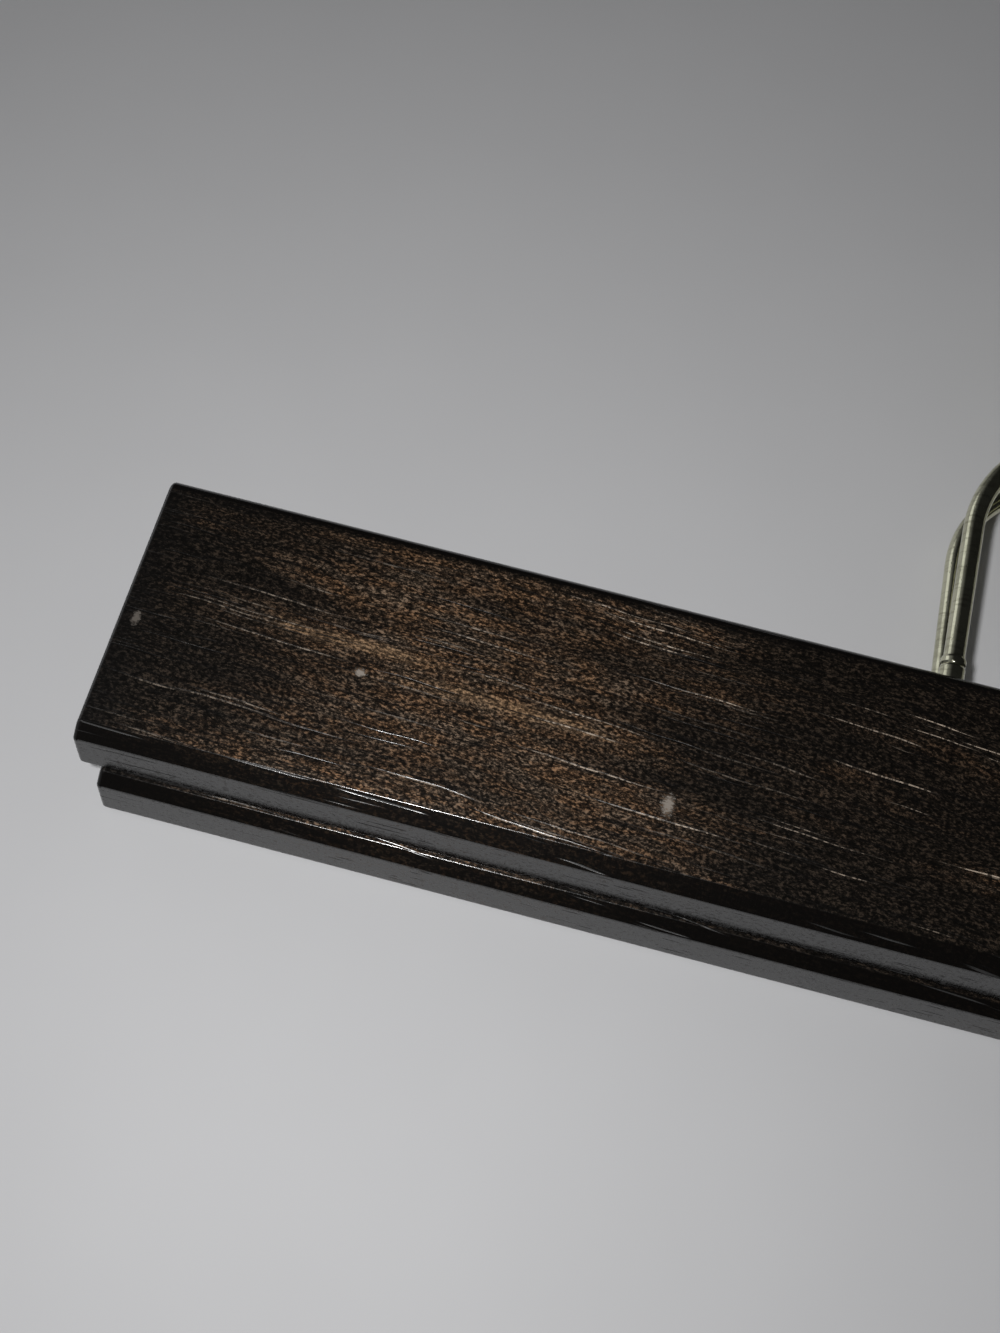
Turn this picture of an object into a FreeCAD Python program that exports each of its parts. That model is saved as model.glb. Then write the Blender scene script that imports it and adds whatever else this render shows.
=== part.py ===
import FreeCAD, Part
import Sketcher
import math
import os
import re

# A wooden trouser hanger. Two jaws turn on a sprung hinge rod that lies in a cove along their top edges.
# Each jaw carries a wire bail as its handle: the bails spread in a V, and squeezing them opens the jaws.
# The hook's stem rises between the bails from a yoke on the rod, and stops them.
# X runs along the jaws, Y towards the hook and Z up from the surface that the hanger lies on.
# The origin is on the back jaw's flat back, level with the middle of the front jaw.

SIZES = {
    "jaw_length": 301.5,
    "front_height": 47.5,
    "lip_depth": 3.4,
    "end_step": 2.0,
    "jaw_thickness": 9.2,
    "jaw_gap": 0.3,
    "bevel": 1.05,
    "facet_depth": 2.2,
    "facet_drop": 1.2,
    "brow_round": 2.0,
    "nose_round": 0.8,
    "edge_round": 2.4,
    "inner_round": 1.2,
    "end_round": 0.7,
    "side_offset": 0.55,
    "felt_length": 284.0,
    "felt_thickness": 1.4,
    "felt_proud": 0.05,
    "felt_margin": 5.0,
    "felt_clearance": 0.3,
    "felt_leaf_gap": 4.5,
    "wire_diameter": 3.4,
    "leg_spacing": 43.6,
    "leg_rise": 28.7,
    "leg_depth": 14.0,
    "splay_angle": 3.0,
    "wire_fit": 0.05,
    "ferrule_diameter": 4.1,
    "ferrule_height": 4.5,
    "ferrule_groove": 0.2,
    "rod_diameter": 3.0,
    "rod_rise": 1.0,
    "rod_fit": 0.05,
    "end_float": 0.35,
    "leaf_sheet": 0.8,
    "leaf_inset": 0.65,
    "leaf_width": 20.0,
    "leaf_height": 15.0,
    "knuckle_length": 6.0,
    "screw_diameter": 2.8,
    "screw_length": 6.0,
    "screw_head_diameter": 5.2,
    "screw_head_height": 0.5,
    "screw_inset": 3.6,
    "screw_spacing": 8.4,
    "cap_diameter": 5.2,
    "cap_length": 2.2,
    "cap_depth": 1.4,
    "cap_chamfer": 0.6,
    "spring_wire": 1.2,
    "spring_clearance": 0.35,
    "spring_pitch": 1.75,
    "spring_arm": 12.5,
    "cove_clearance": 0.45,
    "groove_clearance": 0.4,
    "yoke_sheet": 1.4,
    "yoke_inside": 7.0,
    "yoke_width": 6.0,
    "yoke_rise": 6.0,
    "hook_diameter": 3.4,
    "hook_neck": 48.5,
    "hook_radius": 18.0,
    "hook_bend": 9.0,
    "hook_tip": 6.0,
    "tip_round": 1.6,
    "head_diameter": 5.6,
    "head_height": 1.7,
    "head_round": 0.6,
    "washer_diameter": 6.4,
    "washer_thickness": 0.8,
    "overrun": 1.0,
}

# Lengths that follow from the driving ones, as formulas in the same sheet.
DERIVED = {
    "top_edge": "front_height / 2",
    "front_bottom": "-front_height / 2",
    "back_bottom": "-front_height / 2 - lip_depth",
    "front_nose": "front_bottom + bevel",
    "back_nose": "back_bottom + bevel",
    "front_brow": "front_nose + facet_depth",
    "back_brow": "back_nose + facet_depth",
    "front_floor": "jaw_thickness + jaw_gap",
    "front_face": "front_floor + jaw_thickness",
    "front_shoulder": "front_face - facet_drop",
    "back_shoulder": "jaw_thickness - facet_drop",
    "mid_plane": "jaw_thickness + jaw_gap / 2",
    "front_left": "-jaw_length / 2 - side_offset",
    "back_left": "-jaw_length / 2 + end_step + side_offset",
    "back_length": "jaw_length - end_step * 2",
    "felt_recess": "felt_thickness - felt_proud",
    "felt_bottom": "-front_height / 2 + felt_margin",
    "felt_height": "rod_line + leaf_foot - felt_leaf_gap - felt_bottom",
    "wire_radius": "wire_diameter / 2",
    "wire_bore": "wire_diameter / 2 + wire_fit",
    "half_spacing": "leg_spacing / 2",
    "left_leg": "-leg_spacing / 2",
    "leg_foot": "-leg_depth",
    "ferrule_radius": "ferrule_diameter / 2",
    "ferrule_waist": "ferrule_diameter / 2 - ferrule_groove",
    "rod_line": "front_height / 2 + rod_rise",
    "rod_radius": "rod_diameter / 2",
    "rod_bore": "rod_diameter / 2 + rod_fit",
    "knuckle_radius": "rod_diameter / 2 + rod_fit + leaf_sheet",
    "coil_radius": "rod_diameter / 2 + spring_clearance + spring_wire / 2",
    "cove_radius": "rod_diameter / 2 + spring_clearance + spring_wire + cove_clearance",
    "leaf_recess": "leaf_inset + leaf_sheet - jaw_gap / 2",
    "yoke_half": "yoke_inside / 2 + yoke_sheet",
    "coil_start": "yoke_half + end_float + spring_wire / 2",
    "inner_knuckle": "coil_start + spring_pitch * coil_turns + spring_wire / 2 + end_float",
    "outer_knuckle": "inner_knuckle + knuckle_length + end_float",
    "cap_start": "outer_knuckle + knuckle_length + end_float",
    "rod_half": "cap_start + cap_depth",
    "cove_half": "cap_start + cap_length + end_float",
    "leaf_start": "cap_start - end_float - leaf_width",
    "leaf_end": "cap_start - end_float",
    "left_leaf_start": "-leaf_end",
    "left_leaf_end": "-leaf_start",
    "inner_knuckle_end": "inner_knuckle + knuckle_length",
    "left_knuckle": "-outer_knuckle - knuckle_length",
    "left_knuckle_end": "-outer_knuckle",
    "first_screw": "leaf_start + screw_inset",
    "second_screw": "leaf_start + screw_inset + screw_spacing",
    "left_first_screw": "-first_screw",
    "left_second_screw": "-second_screw",
    "leaf_top": "-cove_radius",
    "leaf_foot": "-cove_radius - leaf_height",
    "screw_line": "-cove_radius - leaf_height / 2",
    "screw_radius": "screw_diameter / 2",
    "screw_bore": "screw_diameter / 2 + rod_fit",
    "head_side": "screw_head_diameter / 2",
    "screw_tip": "screw_length - screw_diameter / 2",
    "screw_crown": "-screw_head_height",
    "screw_rim": "-screw_head_height / 2",
    "cap_radius": "cap_diameter / 2",
    "cap_shoulder": "cap_length - cap_chamfer",
    "cap_rim": "cap_diameter / 2 - cap_chamfer",
    "arm_groove": "coil_radius + spring_wire / 2 + groove_clearance - jaw_gap / 2",
    "arm_reach": "spring_arm + groove_clearance",
    "yoke_side": "yoke_width / 2",
    "yoke_top": "yoke_rise + yoke_sheet",
    "yoke_back": "-yoke_width / 2",
    "yoke_floor": "-yoke_width / 2 - overrun",
    "yoke_gap": "yoke_inside / 2",
    "yoke_gap_left": "-yoke_inside / 2",
    "hook_side": "hook_diameter / 2",
    "hook_bore": "hook_diameter / 2 + rod_fit",
    "washer_top": "yoke_rise - rod_fit",
    "head_top": "yoke_rise - rod_fit * 2 - washer_thickness",
    "head_foot": "head_top - head_height",
    "head_radius": "head_diameter / 2",
}

# A coil of whole turns and a half, so that one arm ends in front of the rod and the other behind it.
COIL_HALF_TURNS = 7
COIL_TURNS = COIL_HALF_TURNS / 2
FULL_TURN = 360
HALF_TURN = 180
QUARTER_TURN = 90
X_AXIS = FreeCAD.Vector(1, 0, 0)
Y_AXIS = FreeCAD.Vector(0, 1, 0)

# Heights of the ferrule's beads and waist, as shares of its height.
FERRULE_SHARES = {"waist_start": 0.56, "waist": 0.66, "bead_start": 0.74, "bead_end": 0.9}

# The cells that place a leaf's plate, knuckle and screws, for a leaf drawn left or right of the hook.
LEAF_SPANS = {"right": ("leaf_start", "leaf_end"), "left": ("left_leaf_start", "left_leaf_end")}
KNUCKLE_SPANS = {"right": ("inner_knuckle", "inner_knuckle_end"),
                 "left": ("left_knuckle", "left_knuckle_end")}
SCREW_LINES = {"right": ("first_screw", "second_screw"), "left": ("left_first_screw", "left_second_screw")}

document = FreeCAD.newDocument("TrouserHanger")
sheet = document.addObject("Spreadsheet::Sheet", "Sizes")
cells = {alias: str(number) for alias, number in SIZES.items()}
cells["coil_turns"] = str(COIL_TURNS)
cells.update({alias: "=" + formula for alias, formula in DERIVED.items()})
cells.update({alias: f"=ferrule_height * {share}" for alias, share in FERRULE_SHARES.items()})
for row, (alias, content) in enumerate(cells.items(), start=1):
    sheet.set(f"A{row}", alias)
    sheet.set(f"B{row}", content)
    sheet.setAlias(f"B{row}", alias)
document.recompute()


def size(alias):
    """The number in a named cell of the sheet."""
    return float(sheet.get(alias))


def linked(formula):
    """A formula with the sheet's name before each of its cells."""
    return re.sub(r"[a-z_]+", lambda word: "Sizes." + word[0] if word[0] in cells else word[0], formula)


def bind(target, formulas):
    """Bind an object's properties to formulas of the sheet's cells, and return the object."""
    for path, formula in formulas.items():
        target.setExpression(path, linked(formula))
    return target


def place(target, x="0", y="0", z="0", axis=None, angle="0"):
    """Bind an object's place, and its turn about an axis, to the sheet."""
    if axis:
        target.Placement = FreeCAD.Placement(FreeCAD.Vector(), FreeCAD.Rotation(axis, 1))
        bind(target, {"Placement.Rotation.Angle": angle})
    return bind(target, {"Placement.Base.x": x, "Placement.Base.y": y, "Placement.Base.z": z})


def primitive(kind, name, sizes):
    """A Part primitive with its sizes bound to the sheet."""
    return bind(document.addObject(kind, name), sizes)


def box(name, length, width, height):
    """A box along X, Y and Z from its placed corner."""
    return primitive("Part::Box", name, {"Length": length, "Width": width, "Height": height})


def cylinder(name, radius, height):
    """A cylinder up from its placed foot, along Z until it is turned."""
    return primitive("Part::Cylinder", name, {"Radius": radius, "Height": height})


def new_body(name):
    """An empty body with a label of its own."""
    body = document.addObject("PartDesign::Body", name)
    body.Label = name
    return body


def new_sketch(body, name, role, lift="0"):
    """A sketch on one of the body's origin planes, lifted along that plane's normal."""
    sketch = body.newObject("Sketcher::SketchObject", f"{body.Name}_{name}")
    plane = next(item for item in body.Origin.OriginFeatures if item.Role == role)
    sketch.AttachmentSupport = [(plane, "")]
    sketch.MapMode = "FlatFace"
    return bind(sketch, {"AttachmentOffset.Base.z": lift})


def fix_point(sketch, edge, corner, x, y):
    """Hold a point of a sketch at a place given by two cells, or on an axis where the cell is None."""
    for kind, axis, alias in (("DistanceX", -2, x), ("DistanceY", -1, y)):
        if alias is None:
            sketch.addConstraint(Sketcher.Constraint("PointOnObject", edge, corner, axis))
        else:
            index = sketch.addConstraint(Sketcher.Constraint(kind, -1, 1, edge, corner, size(alias)))
            bind(sketch, {f"Constraints[{index}]": alias})


def at(x, y):
    """The point that two cells name, in a sketch's plane."""
    return FreeCAD.Vector(size(x) if x else 0, size(y) if y else 0, 0)


def outline(sketch, points):
    """A closed outline of straight lines through points given by pairs of cells."""
    for start, end in zip(points, points[1:] + points[:1]):
        sketch.addGeometry(Part.LineSegment(at(*start), at(*end)), False)
    for edge, point in enumerate(points):
        previous = (edge - 1) % len(points)
        sketch.addConstraint(Sketcher.Constraint("Coincident", previous, 2, edge, 1))
        fix_point(sketch, edge, 1, *point)
    return sketch


def rectangle(sketch, left, bottom, right, top):
    """A rectangle between four cells."""
    return outline(sketch, [(left, bottom), (right, bottom), (right, top), (left, top)])


def circle(sketch, x, y, radius):
    """A circle at a place given by two cells."""
    edge = sketch.addGeometry(Part.Circle(at(x, y), FreeCAD.Vector(0, 0, 1), size(radius)), False)
    fix_point(sketch, edge, 3, x, y)
    index = sketch.addConstraint(Sketcher.Constraint("Radius", edge, size(radius)))
    bind(sketch, {f"Constraints[{index}]": radius})
    return sketch


def feature(body, kind, profile, sizes=None, **settings):
    """A PartDesign feature on a sketch, with its sizes bound to the sheet."""
    made = body.newObject("PartDesign::" + kind, f"{body.Name}_{kind}_{len(body.Group)}")
    made.Profile = profile
    for name, setting in settings.items():
        setattr(made, name, setting)
    return bind(made, sizes or {})


def through_cut(body, sketch):
    """A pocket through the whole body, both ways from its sketch."""
    document.recompute()
    before = body.Shape.Volume
    pocket = feature(body, "Pocket", sketch, Type="ThroughAll", Midplane=True)
    document.recompute()
    if not body.Shape.Volume < before:
        raise RuntimeError(f"{pocket.Name} cuts nothing")
    return pocket


def fillet(body, base, radius, wanted):
    """A fillet on the edges of a feature that a test picks."""
    document.recompute()
    names = [f"Edge{index}" for index, edge in enumerate(base.Shape.Edges, start=1) if wanted(edge.BoundBox)]
    made = body.newObject("PartDesign::Fillet", f"{body.Name}_Fillet_{len(body.Group)}")
    made.Base = (base, names)
    return bind(made, {"Radius": radius})


def joined(kind, name, pieces):
    """A Part fusion or compound of pieces, under its own label."""
    made = document.addObject("Part::" + kind, name)
    setattr(made, "Links" if kind == "Compound" else "Shapes", pieces)
    made.Label = name
    return made


def cut(name, base, tool):
    """A Part cut under its own label."""
    made = document.addObject("Part::Cut", name)
    made.Base = base
    made.Tool = tool
    made.Label = name
    return made


def jaw_block(side, floor, face, length):
    """A jaw's wooden bar before it is cut: its lower edge leans a little, with a facet on its outer side."""
    body = new_body(f"{side}_block")
    section = new_sketch(body, "section", "YZ_Plane", f"{side}_left")
    outline(section, [(f"{side}_bottom", floor), ("top_edge", floor), ("top_edge", face),
                      (f"{side}_brow", face), (f"{side}_nose", f"{side}_shoulder")])
    made = feature(body, "Pad", section, {"Length": length})
    flat = size("wire_fit")

    def along(line, level):
        """A test for the long edge at a height and a level of the section."""
        middle = at(line, level)
        return lambda edge: (edge.XLength > flat and abs(edge.Center.y - middle.x) < flat
                             and abs(edge.Center.z - middle.y) < flat)

    long_edges = [("brow_round", along(f"{side}_brow", face)), ("edge_round", along("top_edge", face)),
                  ("nose_round", along(f"{side}_nose", f"{side}_shoulder")),
                  ("inner_round", along("top_edge", floor)), ("inner_round", along(f"{side}_bottom", floor))]
    for radius, wanted in long_edges:
        made = fillet(body, made, radius, wanted)
    fillet(body, made, "end_round", lambda edge: edge.XLength < flat)
    return body


def leg_bores(side, shift, lift, splay):
    """The two bores that a bail's legs are sunk in."""
    bores = []
    for end, leg in (("left", "-half_spacing"), ("right", "half_spacing")):
        bore = cylinder(f"{side}_{end}_leg_bore", "wire_bore", "leg_depth + overrun + wire_fit")
        start = "(leg_depth + wire_fit)"
        bores.append(place(bore, f"{shift} + {leg}", f"top_edge - {start} * cos(splay_angle)",
                           f"{lift} - {start} * sin({splay})", X_AXIS, f"{splay} - {QUARTER_TURN}"))
    return bores


def hinge_cuts(side, floor, depth_sign):
    """What a jaw is cut away for: felt, hinge cove, leaves, their screws and the springs' arms."""
    def from_face(depth):
        return f"{floor} - {depth}" if depth_sign < 0 else floor

    shift = "side_offset" if depth_sign < 0 else "-side_offset"
    recess = box(f"{side}_felt_recess", "felt_length + felt_clearance * 2",
                 "felt_height + felt_clearance * 2", "felt_recess + overrun")
    cuts = [place(recess, f"{shift} - felt_length / 2 - felt_clearance", "felt_bottom - felt_clearance",
                  f"{floor} - felt_recess" if depth_sign < 0 else f"{floor} - overrun")]
    cove = cylinder(f"{side}_cove", "cove_radius", "cove_half * 2")
    cuts.append(place(cove, "-cove_half", "rod_line", "mid_plane", Y_AXIS, str(QUARTER_TURN)))
    for end in ("left", "right"):
        leaf_corner = "leaf_start" if end == "right" else "-leaf_end"
        leaf = box(f"{side}_{end}_leaf_recess", "leaf_width", "leaf_height + overrun", "leaf_recess")
        cuts.append(place(leaf, leaf_corner, "rod_line + leaf_foot", from_face("leaf_recess")))
        neck = box(f"{side}_{end}_neck_recess", "leaf_end - inner_knuckle + end_float",
                   "cove_radius", "leaf_recess")
        neck_corner = "inner_knuckle - end_float" if end == "right" else "-leaf_end"
        cuts.append(place(neck, neck_corner, "rod_line - cove_radius", from_face("leaf_recess")))
        first_arm = (end == "right") == (depth_sign > 0)
        arm_line = "coil_start" if first_arm else "(coil_start + spring_pitch * coil_turns)"
        arm_sign = "" if end == "right" else "-"
        arm = box(f"{side}_{end}_arm_groove", "spring_wire + groove_clearance * 2", "arm_reach", "arm_groove")
        cuts.append(place(arm, f"{arm_sign}{arm_line} - spring_wire / 2 - groove_clearance",
                          "rod_line - arm_reach", from_face("arm_groove")))
        for screw in SCREW_LINES[end]:
            pilot = cylinder(f"{side}_pilot_{screw}", "screw_bore", "leaf_recess + screw_length")
            foot = from_face("(leaf_recess + screw_length)")
            cuts.append(place(pilot, screw, "rod_line + screw_line", foot))
    return cuts


def bail(side, shift, lift, splay):
    """A bail: two legs sunk in the jaw's top edge and a half round between them, one bent wire."""
    body = new_body(f"{side}_bail")
    path = new_sketch(body, "path", "XY_Plane")
    path.addGeometry(Part.LineSegment(at("left_leg", "leg_foot"), at("left_leg", "leg_rise")), False)
    crown = Part.Circle(at(None, "leg_rise"), FreeCAD.Vector(0, 0, 1), size("half_spacing"))
    path.addGeometry(Part.ArcOfCircle(crown, 0, math.pi), False)
    path.addGeometry(Part.LineSegment(at("half_spacing", "leg_rise"), at("half_spacing", "leg_foot")), False)
    path.addConstraint(Sketcher.Constraint("Tangent", 0, 2, 1, 2))
    path.addConstraint(Sketcher.Constraint("Tangent", 1, 1, 2, 1))
    path.addConstraint(Sketcher.Constraint("Vertical", 2))
    fix_point(path, 0, 1, "left_leg", "leg_foot")
    fix_point(path, 0, 2, "left_leg", "leg_rise")
    fix_point(path, 2, 2, "half_spacing", "leg_foot")
    section = circle(new_sketch(body, "section", "XZ_Plane", "leg_depth"), "left_leg", None, "wire_radius")
    feature(body, "AdditivePipe", section, Spine=path)
    return place(body, shift, "top_edge", lift, X_AXIS, splay)


def ferrule(side, end, shift, lift, splay):
    """The beaded collar round a leg where it enters the wood."""
    body = new_body(f"{side}_{end}_ferrule")
    profile = outline(new_sketch(body, "profile", "XY_Plane"), [
        ("wire_bore", None), ("ferrule_radius", None), ("ferrule_radius", "waist_start"),
        ("ferrule_waist", "waist"), ("ferrule_radius", "bead_start"), ("ferrule_radius", "bead_end"),
        ("ferrule_waist", "ferrule_height"), ("wire_bore", "ferrule_height")])
    feature(body, "Revolution", profile, ReferenceAxis=(profile, ["V_Axis"]), Angle=FULL_TURN)
    leg = "-half_spacing" if end == "left" else "half_spacing"
    seat = "ferrule_radius * sin(splay_angle)"
    return place(body, f"{shift} + {leg}", f"top_edge + {seat}", lift, X_AXIS, splay)


def leaf(side, end):
    """A hinge leaf: a screwed plate with one knuckle, which wraps the rod. The back ones are turned about."""
    drawn = end if side == "front" else {"left": "right", "right": "left"}[end]
    plate_start, plate_end = LEAF_SPANS[drawn]
    knuckle_start, knuckle_end = KNUCKLE_SPANS[drawn]
    body = new_body(f"{side}_{end}_leaf")
    plate = new_sketch(body, "plate", "XY_Plane", "leaf_inset")
    rectangle(plate, plate_start, "leaf_foot", plate_end, "leaf_top")
    feature(body, "Pad", plate, {"Length": "leaf_sheet"})
    neck = new_sketch(body, "neck", "XY_Plane", "leaf_inset")
    rectangle(neck, knuckle_start, "leaf_foot", knuckle_end, None)
    feature(body, "Pad", neck, {"Length": "leaf_sheet"})
    barrel = circle(new_sketch(body, "barrel", "YZ_Plane", knuckle_start), None, None, "knuckle_radius")
    feature(body, "Pad", barrel, {"Length": "knuckle_length"})
    through_cut(body, circle(new_sketch(body, "bore", "YZ_Plane"), None, None, "rod_bore"))
    holes = new_sketch(body, "holes", "XY_Plane")
    for screw in SCREW_LINES[drawn]:
        circle(holes, screw, "screw_line", "screw_bore")
    through_cut(body, holes)
    turn = HALF_TURN if side == "back" else 0
    return place(body, "0", "rod_line", "mid_plane", Y_AXIS, str(turn))


def leaf_screws(side):
    """The four low-headed screws that hold a jaw's two leaves."""
    screws = []
    for line in SCREW_LINES["left"] + SCREW_LINES["right"]:
        body = new_body(f"{side}_screw_{line}")
        profile = outline(new_sketch(body, "profile", "XZ_Plane"), [
            (None, "screw_crown"), ("screw_radius", "screw_crown"), ("head_side", "screw_rim"),
            ("head_side", None), ("screw_radius", None), ("screw_radius", "screw_tip"),
            (None, "screw_length")])
        feature(body, "Revolution", profile, ReferenceAxis=(profile, ["V_Axis"]), Angle=FULL_TURN)
        seat = "mid_plane + leaf_inset" if side == "front" else "mid_plane - leaf_inset"
        turn = HALF_TURN if side == "back" else 0
        screws.append(place(body, line, "rod_line + screw_line", seat, Y_AXIS, str(turn)))
    return joined("Compound", f"{side}_leaf_screws", screws)


def rod_cap(end):
    """A push-on cap that keeps the rod in its knuckles."""
    body = new_body(f"rod_cap_{end}")
    profile = outline(new_sketch(body, "profile", "XY_Plane"), [
        (None, "rod_radius"), (None, "cap_radius"), ("cap_shoulder", "cap_radius"), ("cap_length", "cap_rim"),
        ("cap_length", None), ("cap_depth", None), ("cap_depth", "rod_radius")])
    feature(body, "Revolution", profile, ReferenceAxis=(profile, ["H_Axis"]), Angle=FULL_TURN)
    if end == "left":
        return place(body, "-cap_start", "rod_line", "mid_plane", Y_AXIS, str(HALF_TURN))
    return place(body, "cap_start", "rod_line", "mid_plane")


def yoke():
    """The yoke: a strap bent over the rod, with a bored bridge that the hook's stem turns in."""
    body = new_body("hook_yoke")
    side = new_sketch(body, "side", "YZ_Plane")
    round_end = Part.Circle(FreeCAD.Vector(), FreeCAD.Vector(0, 0, 1), size("yoke_side"))
    side.addGeometry(Part.ArcOfCircle(round_end, math.pi / 2, 3 * math.pi / 2), False)
    corners = [(None, "yoke_back"), ("yoke_top", "yoke_back"), ("yoke_top", "yoke_side"), (None, "yoke_side")]
    for start, end in zip(corners, corners[1:]):
        side.addGeometry(Part.LineSegment(at(*start), at(*end)), False)
    side.addConstraint(Sketcher.Constraint("Coincident", 0, 3, -1, 1))
    side.addConstraint(Sketcher.Constraint("Coincident", 0, 2, 1, 1))
    side.addConstraint(Sketcher.Constraint("Coincident", 3, 2, 0, 1))
    for edge in (1, 2):
        side.addConstraint(Sketcher.Constraint("Coincident", edge, 2, edge + 1, 1))
        fix_point(side, edge, 2, *corners[edge])
    fix_point(side, 1, 1, *corners[0])
    side.addConstraint(Sketcher.Constraint("PointOnObject", 3, 2, -2))
    feature(body, "Pad", side, {"Length": "yoke_half * 2"}, Midplane=True)
    gap = new_sketch(body, "gap", "XY_Plane")
    through_cut(body, rectangle(gap, "yoke_gap_left", "yoke_floor", "yoke_gap", "yoke_rise"))
    through_cut(body, circle(new_sketch(body, "rod_hole", "YZ_Plane"), None, None, "rod_bore"))
    through_cut(body, circle(new_sketch(body, "stem_hole", "XZ_Plane"), None, None, "hook_bore"))
    return place(body, "0", "rod_line", "mid_plane")


def hook():
    """The hook: a headed stem, a bend to the left and a round bow that ends in a short straight tip."""
    body = new_body("hook")
    rise = math.sqrt(size("hook_radius") ** 2 + 2 * size("hook_radius") * size("hook_bend"))
    lean = math.atan2(rise, size("hook_bend"))
    neck = at(None, "hook_neck")
    centre = neck + FreeCAD.Vector(0, rise, 0)
    path = new_sketch(body, "path", "XY_Plane")
    path.addGeometry(Part.LineSegment(at(None, "head_foot"), neck), False)
    upward = FreeCAD.Vector(0, 0, 1)
    bend = Part.Circle(neck - FreeCAD.Vector(size("hook_bend"), 0, 0), upward, size("hook_bend"))
    path.addGeometry(Part.ArcOfCircle(bend, 0, lean), False)
    bow = Part.Circle(centre, upward, size("hook_radius"))
    path.addGeometry(Part.ArcOfCircle(bow, 0, lean + math.pi), False)
    end = centre + FreeCAD.Vector(size("hook_radius"), 0, 0)
    path.addGeometry(Part.LineSegment(end, end - FreeCAD.Vector(0, size("hook_tip"), 0)), False)
    fix_point(path, 0, 1, None, "head_foot")
    fix_point(path, 0, 2, None, "hook_neck")
    path.addConstraint(Sketcher.Constraint("Tangent", 0, 2, 1, 1))
    path.addConstraint(Sketcher.Constraint("Tangent", 1, 2, 2, 2))
    path.addConstraint(Sketcher.Constraint("Tangent", 2, 1, 3, 1))
    path.addConstraint(Sketcher.Constraint("Vertical", 3))
    path.addConstraint(Sketcher.Constraint("PointOnObject", 2, 3, -2))
    held = (("Radius", 1, "hook_bend"), ("Radius", 2, "hook_radius"), ("Distance", 3, "hook_tip"))
    for kind, edge, alias in held:
        index = path.addConstraint(Sketcher.Constraint(kind, edge, size(alias)))
        bind(path, {f"Constraints[{index}]": alias})
    section = circle(new_sketch(body, "section", "XZ_Plane", "-head_foot"), None, None, "hook_side")
    feature(body, "AdditivePipe", section, Spine=path)
    head = circle(new_sketch(body, "head", "XZ_Plane", "-head_foot"), None, None, "head_radius")
    solid = feature(body, "Pad", head, {"Length": "head_height"}, Reversed=True)
    flat = size("wire_fit")
    dome = fillet(body, solid, "tip_round",
                  lambda edge: edge.XMin > size("hook_bend") and edge.YLength < flat)
    fillet(body, dome, "head_round",
           lambda edge: edge.XLength > size("hook_diameter") and edge.YMax < size("head_top") - flat)
    return place(body, "0", "rod_line", "mid_plane")


def washer():
    """The washer between the stem's head and the yoke's bridge."""
    disc = cylinder("washer_disc", "washer_diameter / 2", "washer_thickness")
    hole = cylinder("washer_hole", "hook_bore", "washer_thickness + overrun * 2")
    flat = f"-{QUARTER_TURN}"
    place(disc, "0", "rod_line + washer_top - washer_thickness", "mid_plane", X_AXIS, flat)
    place(hole, "0", "rod_line + washer_top - washer_thickness - overrun", "mid_plane", X_AXIS, flat)
    return cut("hook_washer", disc, hole)


def arc_between(start, corner, end):
    """The arc that leaves one point and reaches another along lines through an equally distant corner."""
    middle = (start + end) / 2
    half_chord = (end - start).Length / 2
    rise = corner - middle
    sagitta = half_chord * math.tan(math.atan2(rise.Length, half_chord) / 2)
    return Part.Arc(start, middle + rise.normalize() * sagitta, end).toShape()


def biarc(start, leaving, end, arriving):
    """Two arcs that join two points with a given direction at each."""
    step = end - start
    bend = 2 * leaving.dot(arriving) - 2
    run = step.dot(leaving + arriving)
    reach = (run - math.sqrt(run * run - bend * step.dot(step))) / bend
    first = start + leaving * reach
    last = end - arriving * reach
    joint = (first + last) / 2
    return [arc_between(start, first, joint), arc_between(joint, last, end)]


def coil_point(angle):
    """A point of the coil and the direction of the wire there."""
    radius = size("coil_radius")
    pitch = size("spring_pitch")
    point = FreeCAD.Vector(size("coil_start") + pitch * angle / (2 * math.pi),
                           radius * math.sin(angle), radius * math.cos(angle))
    heading = FreeCAD.Vector(pitch / (2 * math.pi), radius * math.cos(angle), -radius * math.sin(angle))
    return point, heading.normalize()


def self_gap(wire_path):
    """The least gap between a coil's turns, measured on points along its path."""
    points = wire_path.discretize(Distance=size("spring_wire") / 4)
    apart = round(4 * math.pi * size("coil_radius") / size("spring_wire"))
    gaps = [one.distanceToPoint(two) for index, one in enumerate(points) for two in points[index + apart:]]
    return min(gaps) - size("spring_wire")


def spring(end):
    """A torsion spring on the rod: one tube of biarcs whose arms reach behind the hinge leaves."""
    quarters = range(2 * COIL_HALF_TURNS + 1)
    stations = [coil_point(quarter * math.pi / 2) for quarter in quarters]
    stations[0] = (stations[0][0], FreeCAD.Vector(0, 1, 0))
    stations[-1] = (stations[-1][0], FreeCAD.Vector(0, -1, 0))
    arm = FreeCAD.Vector(0, size("spring_arm"), 0)
    edges = [Part.LineSegment(stations[0][0] - arm, stations[0][0]).toShape()]
    for one, two in zip(stations, stations[1:]):
        edges += biarc(*one, *two)
    edges.append(Part.LineSegment(stations[-1][0], stations[-1][0] - arm).toShape())
    path = Part.Wire(edges)
    section = Part.Circle(stations[0][0] - arm, FreeCAD.Vector(0, 1, 0), size("spring_wire") / 2).toShape()
    made = document.addObject("Part::Feature", f"spring_{end}")
    made.Shape = path.makePipeShell([Part.Wire([section])], True, False)
    made.Label = f"spring_{end}"
    print(f"{made.Label}: gap between turns {self_gap(path):.2f} mm")
    return place(made, "0", "rod_line", "mid_plane", Y_AXIS, str(HALF_TURN if end == "left" else 0))


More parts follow.
